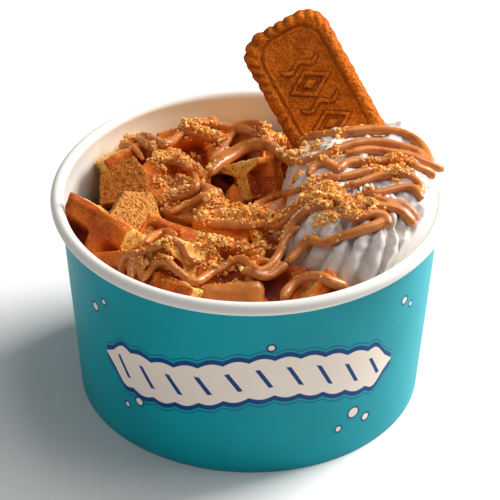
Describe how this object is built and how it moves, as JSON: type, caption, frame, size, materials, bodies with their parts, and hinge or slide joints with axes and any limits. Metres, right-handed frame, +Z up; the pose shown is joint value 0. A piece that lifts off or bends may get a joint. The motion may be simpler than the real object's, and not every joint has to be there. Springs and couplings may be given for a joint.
{
  "type": "waffle dessert tub",
  "caption": "Round paper tub heaped with cut waffle pieces, drizzled biscuit spread, crumbs, piped cream and a whole caramel biscuit standing in the cream.",
  "frame": {"origin": "centre of the tub's foot, on the surface it stands on", "axes": "+Z up, -Y towards the front from which it is seen, +X to its right, where the cream is"},
  "size_m": [0.15, 0.15, 0.1285],
  "materials": {
    "paper_teal": "satin coated paper, printed teal outside, white inside",
    "paper_white": "satin coated white paper",
    "waffle": "toasted waffle with glossy biscuit spread and dry crumbs",
    "cream": "soft whipped cream with glossy biscuit spread",
    "biscuit": "dry, fine-grained caramelised biscuit"
  },
  "bodies": {
    "root": {"tub_wall": "paper_teal", "tub_floor": "paper_white", "waffle_heap": "waffle", "cream": "cream", "biscuit": "biscuit", "broken_biscuit_back": "biscuit", "broken_biscuit_front": "biscuit"}
  },
  "joints": []
}
